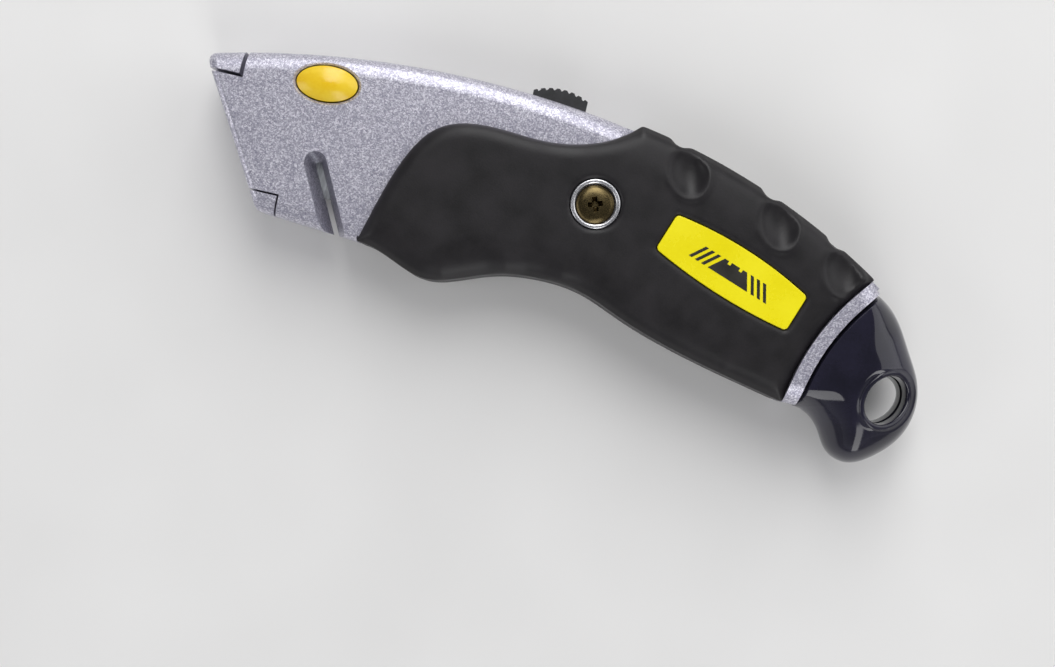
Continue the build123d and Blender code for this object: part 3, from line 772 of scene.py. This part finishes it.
@dataclass
class RubberGrip:
    """Rubber grip of one side: crowned face, soft edges and three finger grooves with raised lips."""

    side: Side
    voxel: float = 0.4
    edge_round: float = 3.0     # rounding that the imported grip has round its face
    crown: float = 1.0          # fall of the face from inside the crown's reach to the outline
    crown_reach: float = 9.0
    skin_spread: float = 2.2    # thickness of the skin over spine and belly, sunk into the housing
    troughs: tuple[tuple[float, float], ...] = ((0.598, 0.854), (0.791, 0.728), (0.933, 0.588))
    trough_long: float = 5.2    # half length and half width of a trough at the grip's face
    trough_half: float = 3.8
    lean: float = -64.5         # direction of the troughs from +X, degrees
    lip: float = 0.32           # rise of the lip round the inner end of a trough
    cover: float = 0.35         # rubber over the housing at the foot of a groove
    patch_half: float = 2.6     # half width of the patch that holds it
    patch_steps: int = 9        # places measured across a patch
    probe_up: float = 1.0       # height above the joint at which the housing is measured
    wall_touch: float = 0.05    # a side wall comes this near to the rounding
    wall_tall: float = 5.0      # and is taller than this
    skin_near: float = 0.7      # the skin's hidden side lies this far or more inside the outline
    skin_far: float = 1.6       # and less far than this
    skin_top: float = 0.4       # the part of the skin under the walls' top that stays
    relax_rounds: int = 3
    relax_before: float = 0.5   # share of the way to the neighbours' mean, before the shaping
    relax_after: float = 0.4    # and after it
    lip_place: float = 1.16     # the lip's ridge from the trough's middle, in the trough's own size
    lip_spread: float = 0.13    # and its width, in the same measure
    patch_deep: float = 1.4
    patch_high: float = 8.6     # height of its top above the joint between the halves
    probe: float = 12.0         # the housing is probed from this far outside a trough's middle

    def build(self) -> Piece:
        """Make the grip.

        Returns:
            The new piece, tied to the body.
        """
        node = self.side.name_of("grip")
        middle = middle_height()
        corners, faces = node_shape(node)
        packed = self.side.flipped(np.array(corners) / MM, middle)
        face_z = packed[:, 2].max()
        walls = self.outer_walls(packed, faces, face_z - self.edge_round)
        packed = self.thickened(packed, faces, walls, face_z - self.edge_round)
        patch_points, patch_faces = self.patches(packed, middle)
        solid = np.concatenate((self.side.flipped(packed, middle), self.side.flipped(patch_points, middle)))
        faces = faces + [[len(packed) + i for i in face] for face in patch_faces]
        piece = new_piece(self.side.name_of("rubber_grip"), solid * MM, faces)
        remesh = piece.modifiers.new("skin", "REMESH")
        remesh.mode = "VOXEL"
        remesh.voxel_size = self.voxel * MM
        apply_modifiers(piece)
        points = self.side.flipped(points_of(piece.data), middle)
        edges = edges_of(piece.data)
        points = relaxed(points, edges, self.relax_rounds, self.relax_before)
        points = self.shaped(points, walls, face_z, packed)
        points = relaxed(points, edges, self.relax_rounds, self.relax_after)
        put_points(piece.data, self.side.flipped(points, middle))
        piece.data.shade_smooth()
        fit(piece, "body", "grip_rubber", RUBBER, node)
        return piece

    def outer_walls(self, points: np.ndarray, faces: list[list[int]], top: float) -> BVHTree:
        """Find the side walls of the grip's outline.

        Args:
            points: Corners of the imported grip, drawn as on the left side.
            faces: Corner numbers of each face.
            top: Height at which the walls turn into the rounding.

        Returns:
            A search tree of the walls, in millimetres.
        """
        walls = [f for f in faces
                 if np.abs(points[f][:, 2] - top).min() < self.wall_touch
                 and np.ptp(points[f][:, 2]) > self.wall_tall]
        return BVHTree.FromPolygons([tuple(p) for p in points], walls)

    def inset(self, points: np.ndarray, walls: BVHTree, height: float) -> tuple[np.ndarray, np.ndarray]:
        """Measure how far inside the outline each point is, seen from above.

        Args:
            points: Points in millimetres.
            walls: The outline's walls.
            height: Height in the walls at which it is measured.

        Returns:
            The distances, and the nearest places on the outline.
        """
        found = [walls.find_nearest((p[0], p[1], height)) for p in points]
        return np.array([f[3] for f in found]), np.array([f[0] for f in found])

    def thickened(self, points: np.ndarray, faces: list[list[int]], walls: BVHTree, top: float) -> np.ndarray:
        """Sink the hidden side of the thin skin into the housing, so that the skin holds together.

        Args:
            points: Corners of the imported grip.
            faces: Corner numbers of each face.
            walls: The outline's walls.
            top: Height at which the walls end.

        Returns:
            The corners, those of the skin's hidden side moved inwards.
        """
        away, nearest = self.inset(points, walls, top - 1)
        heading = points - nearest
        heading[:, 2] = 0
        heading /= np.maximum(np.linalg.norm(heading, axis=1), 1e-6)[:, None]
        facing = np.zeros_like(points)
        for face in faces:
            ring = points[face]
            normal = np.cross(ring, np.roll(ring, -1, 0)).sum(0) * self.side.value
            facing[face] += normal / max(np.linalg.norm(normal), 1e-6)
        hidden = (away > self.skin_near) & (away < self.skin_far)
        hidden &= (points[:, 2] < top - self.skin_top) & ((facing * heading).sum(1) > 0)
        moved = points + heading * (self.skin_spread - away)[:, None]
        return np.where(hidden[:, None], moved, points)

    def shaped(self, points: np.ndarray, walls: BVHTree, face_z: float, packed: np.ndarray) -> np.ndarray:
        """Crown the face and raise the lips of the troughs.

        Args:
            points: Points of the fine mesh, drawn as on the left side.
            walls: The outline's walls.
            face_z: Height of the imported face.
            packed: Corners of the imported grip, for the size of its box.

        Returns:
            The moved points.
        """
        outside = ramp(points[:, 2], face_z - self.edge_round - 0.2, face_z - 1.0)
        away, _ = self.inset(points, walls, face_z - self.edge_round - 1)
        fall = self.crown * (1 - np.clip(away / self.crown_reach, 0, 1)) ** 2
        rise = np.zeros(len(points))
        for along, across in self.groove_places(points, packed):
            u, v = along / self.trough_long, across / self.trough_half
            ring = np.exp(-((np.hypot(u, v) - self.lip_place) / self.lip_spread) ** 2)
            rise = np.maximum(rise, self.lip * ring * ramp(u, -0.5, 0.5))
        moved = points.copy()
        moved[:, 2] += outside * (rise - fall)
        if self.side is Side.RIGHT:
            moved[:, 2] = np.minimum(moved[:, 2], face_z)
        return moved

    def heading(self) -> np.ndarray:
        """Direction of the grooves in X and Y, from the spine inwards."""
        return np.array((math.cos(math.radians(self.lean)), math.sin(math.radians(self.lean))))

    def groove_places(self, points: np.ndarray, packed: np.ndarray) -> list[tuple[np.ndarray, np.ndarray]]:
        """Tell where the points lie in each groove's own directions.

        Args:
            points: Points of the fine mesh, drawn as on the left side.
            packed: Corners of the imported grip, for the size of its box.

        Returns:
            For each groove, the distances along and across it from its middle.
        """
        along = self.heading()
        low, span = packed.min(0)[:2], np.ptp(packed, axis=0)[:2]
        offsets = [points[:, :2] - (low + span * share) for share in self.troughs]
        return [(offset @ along, offset @ (-along[1], along[0])) for offset in offsets]

    def patches(self, packed: np.ndarray, middle: float) -> tuple[np.ndarray, list[list[int]]]:
        """Shape solids that keep rubber over the housing where the grooves cut the spine.

        Args:
            packed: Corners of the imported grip, drawn as on the left side.
            middle: Height of the joint between the halves.

        Returns:
            Corners of the solids, and the corner numbers of each face.
        """
        corners, walls = node_shape(self.side.name_of("housing"))
        housing = BVHTree.FromPolygons(
            [tuple(p) for p in self.side.flipped(np.array(corners) / MM, middle)], walls)
        along = self.heading()
        inward, sideways = Vector((*along, 0)), Vector((-along[1], along[0], 0))
        low, span = packed.min(0), np.ptp(packed, axis=0)
        points, faces = [], []
        for share in self.troughs:
            groove = Vector((low[0] + span[0] * share[0], low[1] + span[1] * share[1],
                             middle + self.probe_up))
            outer, inner = [], []
            for offset in np.linspace(-self.patch_half, self.patch_half, self.patch_steps):
                wall = housing.ray_cast(groove + sideways * offset - inward * self.probe, inward)[0]
                outer.append(wall - inward * self.cover)
                inner.append(wall + inward * self.patch_deep)
            outline = inner + outer[::-1]
            count, first = len(outline), len(points)
            for height in (low[2], middle + self.patch_high):
                points += [(p.x, p.y, height) for p in outline]
            faces += [[first + i, first + (i + 1) % count, first + count + (i + 1) % count, first + count + i]
                      for i in range(count)]
            faces += [[first + i for i in range(count)][::-1], [first + count + i for i in range(count)]]
        if self.side is Side.RIGHT:
            faces = [face[::-1] for face in faces]
        return np.array(points), faces


@dataclass
class Badge:
    """Yellow plate let into a grip, printed with a plain blade sign between two rows of bars."""

    side: Side
    easing: float = 0.22
    print_high: float = 3.4
    blade_long: float = 9.6     # longer side of the printed blade
    blade_short: float = 5.4
    notch: float = 0.7
    bar: float = 0.75
    bar_gap: float = 1.5
    bar_start: float = 0.9      # gap between the sign's middle shape and the first bar
    bars: int = 3
    film: float = 0.05          # print above the plate

    def build(self) -> None:
        """Make the plate and its print."""
        node = self.side.name_of("badge")
        plate = eased(node, self.side.name_of("badge_plate"), self.easing)
        fit(plate, "body", "badge_plastic", BADGE_ABS, node)
        fit(self.build_print(node), "body", "badge_plastic", MARK_INK)

    def outlines(self) -> list[list[tuple[float, float]]]:
        """Outlines of the printed shapes, round the middle of the plate.

        Returns:
            An outline for each shape, as x and y of its corners in millimetres.
        """
        high, low = self.print_high / 2, -self.print_high / 2
        long, short, notch = self.blade_long / 2, self.blade_short / 2, self.notch
        first, second = -short * 0.5, short * 0.5
        top = [(short, high)]
        for middle in (second, first):
            top += [(middle + notch / 2, high), (middle + notch / 2, high - notch),
                    (middle - notch / 2, high - notch), (middle - notch / 2, high)]
        shapes = [[(-long, low), (long, low)] + top + [(-short, high)]]
        slope = (long - short) / self.print_high
        for index in range(self.bars):
            start = long + self.bar_start + index * self.bar_gap
            for sign in (-1, 1):
                bar = [(start, low), (start + self.bar, low),
                       (start + self.bar - slope * self.print_high, high),
                       (start - slope * self.print_high, high)]
                shapes.append([(sign * x, y) for x, y in (bar if sign > 0 else bar[::-1])])
        return shapes

    def build_print(self, node: str) -> Piece:
        """Make the print.

        Args:
            node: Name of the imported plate.

        Returns:
            The new piece.
        """
        low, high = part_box(node)
        centre = (low + high) / 2
        along = handle_axis()
        up = Vector((-along.y, along.x, 0))
        sign = self.side.value
        face = (high.z if sign > 0 else low.z) / MM
        points, faces = [], []
        for outline in self.outlines():
            count, start = len(outline), len(points)
            for height in (face - sign * self.film, face + sign * self.film):
                points += [Vector((centre.x, centre.y, height * MM)) + (along * x + up * y) * MM
                           for x, y in outline]
            faces.append([start + i for i in range(count)][::-1])
            faces.append([start + count + i for i in range(count)])
            faces += [[start + i, start + (i + 1) % count, start + count + (i + 1) % count,
                       start + count + i] for i in range(count)]
        if self.side is Side.RIGHT:
            faces = [f[::-1] for f in faces]
        piece = new_piece(self.side.name_of("badge_print"), points, faces)
        piece.data.shade_flat()
        return piece


@dataclass
class BodyScrew:
    """Cross head screw in its bright cup, and the nut on the right."""

    head_deep: float = 2.6
    shank: float = 2.0          # radius
    dome: float = 0.8           # rise of the head from its rim to its middle
    cross_turn: float = 20.0    # direction of the first slot from +X, degrees
    slot: tuple[float, float] = (3.4, 1.15)         # length and width at the head's face
    slot_foot: tuple[float, float] = (1.3, 0.5)
    slot_deep: float = 1.8
    dome_steps: int = 13
    dome_end: float = 84.0      # degrees from the head's rim to its last circle
    cut_over: float = 0.2       # how far the cutters stand above the head
    well: tuple[float, float] = (0.95, 0.3)         # radius of the middle at the face and at the foot
    easing: float = 0.06
    turns: int = 72

    def build(self) -> None:
        """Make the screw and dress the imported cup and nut."""
        low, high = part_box("housing_screw")
        middle, top = (low + high) / 2, high.z / MM
        screw = stacked("cross_head_screw", self.sections(middle, (high.x - low.x) / 2 / MM, low.z / MM, top))
        cut(screw, self.cutters(middle, top))
        ease(screw, self.easing)
        fit(screw, "body", "screw_steel", SCREW_STEEL, "housing_screw")
        dress("screw_nut", SCREW_STEEL)
        dress("screw_cup", CUP_ZINC)

    def ring(self, middle: Vector, radius: float, height: float) -> list[Vector]:
        """Circle about the screw's axis.

        Args:
            middle: A point on the axis.
            radius: Its radius in millimetres.
            height: Its height in millimetres.

        Returns:
            Points in metres, anticlockwise.
        """
        turns = [2 * math.pi * k / self.turns for k in range(self.turns)]
        return [Vector((middle.x + radius * MM * math.cos(t), middle.y + radius * MM * math.sin(t),
                        height * MM)) for t in turns]

    def sections(self, middle: Vector, head: float, low: float, top: float) -> list[list[Vector]]:
        """Circles of shank and domed head, from below.

        Args:
            middle: A point on the screw's axis.
            head: Radius of the head.
            low: Height of the shank's end.
            top: Height of the head's middle.

        Returns:
            The circles.
        """
        under = top - self.head_deep
        profile = [(self.shank, low), (self.shank, under), (head, under)]
        for turn in np.radians(np.linspace(0, self.dome_end, self.dome_steps)):
            profile.append((head * math.cos(turn) ** 0.5, top - self.dome * (1 - math.sin(turn))))
        return [self.ring(middle, radius, height) for radius, height in profile]

    def cutters(self, middle: Vector, top: float) -> list[Piece]:
        """Two tapered slots and the well where they cross.

        Args:
            middle: A point on the screw's axis.
            top: Height of the head's middle.

        Returns:
            The solids to cut out.
        """
        heights = (top - self.slot_deep, top + self.cut_over)
        tools = [stacked("screw_well", [self.ring(middle, radius, height)
                                        for radius, height in zip(self.well[::-1], heights)])]
        for number in range(2):
            turn = Matrix.Rotation(math.radians(self.cross_turn + 90 * number), 3, "Z")
            outlines = []
            for (long, wide), height in zip((self.slot_foot, self.slot), heights):
                corners = [(-long, -wide), (long, -wide), (long, wide), (-long, wide)]
                outlines.append([Vector((middle.x, middle.y, height * MM)) + turn @ Vector((x, y, 0)) * MM / 2
                                 for x, y in corners])
            tools.append(stacked(f"screw_slot_{number}", outlines))
        return tools


@dataclass
class ReleaseButton:
    """Domed button that frees the blade, and its coil, kept at its imported shape."""

    def build(self) -> None:
        """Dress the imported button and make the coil."""
        dress("release_button", BUTTON_ABS)
        coil = new_piece("release_coil", *node_shape("release_spring"))
        fit(coil, "body", "spring_steel", DRAWN_STEEL, "release_spring")
        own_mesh(coil)


@dataclass
class Carriage:
    """Blade carrier with its blade, leaf springs and thumb slider."""

    easing: float = 0.18

    def build(self) -> None:
        """Ease the moulded pieces and dress the metal ones."""
        carrier = eased("blade_carrier", "carrier_moulding", self.easing)
        fit(carrier, "carriage", "carrier_plastic", NYLON, "blade_carrier")
        slider = eased("thumb_slider", "slider_moulding", self.easing)
        fit(slider, "thumb", "slider_plastic", NYLON, "thumb_slider")
        dress("cutting_blade", BLADE_STEEL)
        for node in ("lock_spring", "lock_rivet", "detent_spring", "thumb_spring"):
            dress(node, DRAWN_STEEL)


@dataclass
class Magazine:
    """Tray of spare blades that pulls out of the handle."""

    easing: float = 0.15

    def build(self) -> None:
        """Ease the tray and dress what lies in it."""
        tray = eased("magazine_frame", "magazine_tray", self.easing)
        fit(tray, "magazine", "magazine_plastic", NYLON, "magazine_frame")
        for node in sorted(frame["nodes"]):
            if node.startswith("spare_blade"):
                dress(node, BLADE_STEEL)
        for node in ("magazine_spring", "magazine_catch", "cap_pins"):
            dress(node, DRAWN_STEEL)


@dataclass
class TailCap:
    """Glossy hooked cap on the magazine's tail, crowned towards its free edge, with the hang hole."""

    rays: int = 360
    half: float = 10.5          # half thickness inside the crown
    crown_reach: float = 10.0   # width of the rounding along the free edge
    joint_reach: float = 5.0    # and where that edge meets the band
    joint_run: float = 9.0      # distance from the band over which the rounding widens
    least_span: float = 0.6     # least width of the face between the outline and the lip
    front_soft: float = 1.5     # width of the rings' zone along the joint, in front reaches
    soft_places: int = 9        # neighbours over which that reach is evened out
    edge_share: float = 0.75    # most of the face that the rounding's rings take up
    ring_power: float = 1.2     # above 1, the rings also draw together at their inner end
    lip_steps: int = 11
    wall_shares: tuple[float, ...] = (0.75, 0.5, 0.25, 0.0)
    least_gap: float = 0.01     # keeps a point on the outline from dividing by nothing
    front_reach: float = 0.7    # width of the rounding along the joint with the band
    power: float = 2.2          # fullness of the rounding, 2 being an ellipse
    evening: tuple[float, float] = (0.5, 2.5)       # distances over which the mean takes over
    probe: float = 5.5          # height above the middle at which the outline is whole
    front_heading: tuple[float, float] = (128.0, 182.0)     # directions that the front wall faces
    hole: tuple[float, float] = (5.5, 4.3)
    lip: tuple[float, float] = (6.7, 5.45)
    lip_rise: float = 0.6       # above the face beside it
    lip_round: float = 0.45
    foot: float = 0.9           # run-out of the lip into the cap
    hole_tilt: float = 65.0     # direction of the hole's long axis from +X, degrees
    edge_rings: int = 22
    face_rings: int = 14

    def build(self) -> Piece:
        """Make the cap.

        Returns:
            The new piece, tied to the magazine.
        """
        hang = next(m for m in frame["record"]["mounts"] if m["name"] == "hang_hole")
        centre = np.array(hang["pos_m"]) / MM
        angles = np.linspace(0, 2 * math.pi, self.rays, endpoint=False)
        headings = np.stack((np.cos(angles), np.sin(angles)), 1)
        outline = self.outline(centre, headings)
        free = self.free_edge(outline)
        half_rings = self.edge_and_face(centre[:2], angles, headings, outline, free)
        half_rings += self.lip_and_wall(centre[:2], angles, headings, half_rings[-1][:, 2])
        rings = [ring * (1, 1, -1) for ring in half_rings[:0:-1]] + half_rings
        rings = [ring + (0, 0, centre[2]) for ring in rings]
        count, turns = self.rays, len(rings)
        faces = [[a * count + i, a * count + (i + 1) % count, b * count + (i + 1) % count, b * count + i]
                 for a, b in ((k, (k + 1) % turns) for k in range(turns)) for i in range(count)]
        piece = new_piece("cap_moulding", np.concatenate(rings) * MM, faces)
        form = bmesh.new()
        form.from_mesh(piece.data)
        bmesh.ops.recalc_face_normals(form, faces=form.faces[:])
        form.to_mesh(piece.data)
        form.free()
        fit(piece, "magazine", "cap_plastic", CAP_ABS, "tail_cap")
        return piece

    def outline(self, centre: np.ndarray, headings: np.ndarray) -> np.ndarray:
        """Find the cap's outline as seen from the hang hole.

        Args:
            centre: Middle of the hang hole.
            headings: Directions of the rays.

        Returns:
            The outermost place on each ray, in X and Y.
        """
        corners, faces = node_shape("tail_cap")
        packed = BVHTree.FromPolygons([tuple(c / MM) for c in corners], faces)
        far, places = 80.0, []
        for x, y in headings:
            start = Vector((centre[0] + far * x, centre[1] + far * y, centre[2] + self.probe))
            hit = packed.ray_cast(start, Vector((-x, -y, 0)))[0]
            places.append((hit.x, hit.y))
        return np.array(places)

    def free_edge(self, outline: np.ndarray) -> np.ndarray:
        """Tell the free edge from the joint with the band.

        Args:
            outline: Places on the outline, anticlockwise.

        Returns:
            For each place, whether the stretch that starts there is free.
        """
        step = np.roll(outline, -1, 0) - outline
        facing = np.degrees(np.arctan2(-step[:, 0], step[:, 1])) % 360
        low, high = self.front_heading
        return (facing < low) | (facing > high)

    def distance(self, points: np.ndarray, outline: np.ndarray, chosen: np.ndarray) -> np.ndarray:
        """Distance from points to the chosen stretches of the outline.

        Further in, it is a mean over the stretches that has no crease midway between two edges. Along a
        straight edge, the mean is the distance itself.

        Args:
            points: Points in X and Y.
            outline: Places on the outline.
            chosen: Which stretches count.

        Returns:
            One distance for each point.
        """
        start = outline[chosen]
        step = np.roll(outline, -1, 0)[chosen] - start
        offset = points[:, None] - start[None]
        share = np.clip((offset * step).sum(2) / (step * step).sum(1), 0, 1)
        gaps = np.linalg.norm(offset - share[:, :, None] * step[None], axis=2)
        nearest = gaps.min(1)
        pull = (np.linalg.norm(step, axis=1) * np.maximum(gaps, self.least_gap) ** -5).sum(1)
        even = (pull * 3 / 4) ** -0.25
        return nearest + (even - nearest) * ramp(nearest, *self.evening)

    def rounding(self, away: np.ndarray, reach: float | np.ndarray) -> np.ndarray:
        """Share of the full thickness at a distance from the outline."""
        run = np.clip(1 - away / reach, 0, 1)
        return (1 - run ** self.power) ** (1 / self.power)

    def edge_and_face(self, centre: np.ndarray, angles: np.ndarray, headings: np.ndarray,
                      outline: np.ndarray, free: np.ndarray) -> list[np.ndarray]:
        """Rings from the outline at mid-thickness to the foot of the lip.

        Args:
            centre: Middle of the hang hole in X and Y.
            angles: Angles of the rays.
            headings: Directions of the rays.
            outline: Places on the outline.
            free: Which stretches of the outline are free.

        Returns:
            The rings, from outside to inside, with heights above the middle.
        """
        reach = np.linalg.norm(outline - centre, axis=1)
        foot = self.oval(angles, self.lip[0] + self.foot, self.lip[1] + self.foot)
        span = np.maximum(reach - foot, self.least_span)
        soft = np.where(free, self.crown_reach, self.front_reach * self.front_soft)
        lap = self.soft_places // 2
        kernel = np.ones(self.soft_places) / self.soft_places
        soft = np.convolve(np.concatenate((soft[-lap:], soft, soft[:lap])), kernel, "valid")
        first = np.minimum(soft, span * self.edge_share)
        steps = [first * (1 - math.cos(k / self.edge_rings * math.pi / 2) ** self.ring_power)
                 for k in range(self.edge_rings + 1)]
        steps += [first + (span - first) * k / self.face_rings for k in range(1, self.face_rings + 1)]
        rings = []
        for index, step in enumerate(steps):
            flat = outline - headings * step[:, None]
            joint = self.distance(flat, outline, ~free)
            crown = self.joint_reach + (self.crown_reach - self.joint_reach) * ramp(joint, 0, self.joint_run)
            height = self.half * self.rounding(self.distance(flat, outline, free), crown)
            height *= self.rounding(joint, self.front_reach)
            rings.append(np.column_stack((flat, height if index else np.zeros(len(flat)))))
        return rings

    def oval(self, angles: np.ndarray, long: float, short: float) -> np.ndarray:
        """Radius of the tilted oval in each direction."""
        turned = angles - math.radians(self.hole_tilt)
        return long * short / np.hypot(short * np.cos(turned), long * np.sin(turned))

    def lip_and_wall(self, centre: np.ndarray, angles: np.ndarray, headings: np.ndarray,
                     foot: np.ndarray) -> list[np.ndarray]:
        """Rings over the raised lip and down the wall of the hang hole.

        Args:
            centre: Middle of the hang hole in X and Y.
            angles: Angles of the rays.
            headings: Directions of the rays.
            foot: Height of the crowned face at the foot of the lip, for each ray.

        Returns:
            The rings, from the lip's outer side to mid-thickness, with heights above the middle.
        """
        rings = [(0.5 + 0.5 * math.cos(turn), 1.0, self.lip_rise - self.lip_round * (1 - math.sin(turn)))
                 for turn in np.linspace(0, math.pi, self.lip_steps)]
        rings += [(0.0, share, 0.0) for share in self.wall_shares]
        made = []
        for grown, share, rise in rings:
            radius = self.oval(angles, self.hole[0] + (self.lip[0] - self.hole[0]) * grown,
                               self.hole[1] + (self.lip[1] - self.hole[1]) * grown)
            made.append(np.column_stack((centre + headings * radius[:, None], foot * share + rise)))
        return made


def main() -> None:
    """Build the studio, then each sub-assembly in order."""
    logging.basicConfig(level=logging.INFO, format="%(name)s: %(message)s")
    Studio().build()
    assemblies: list[Any] = [Housing()]
    assemblies += [RubberGrip(side) for side in Side]
    assemblies += [Badge(side) for side in Side]
    assemblies += [BodyScrew(), ReleaseButton(), Carriage(), Magazine(), TailCap()]
    for assembly in assemblies:
        assembly.build()
        LOG.info("finished %s", type(assembly).__name__)


if __name__ == "__main__":
    main()
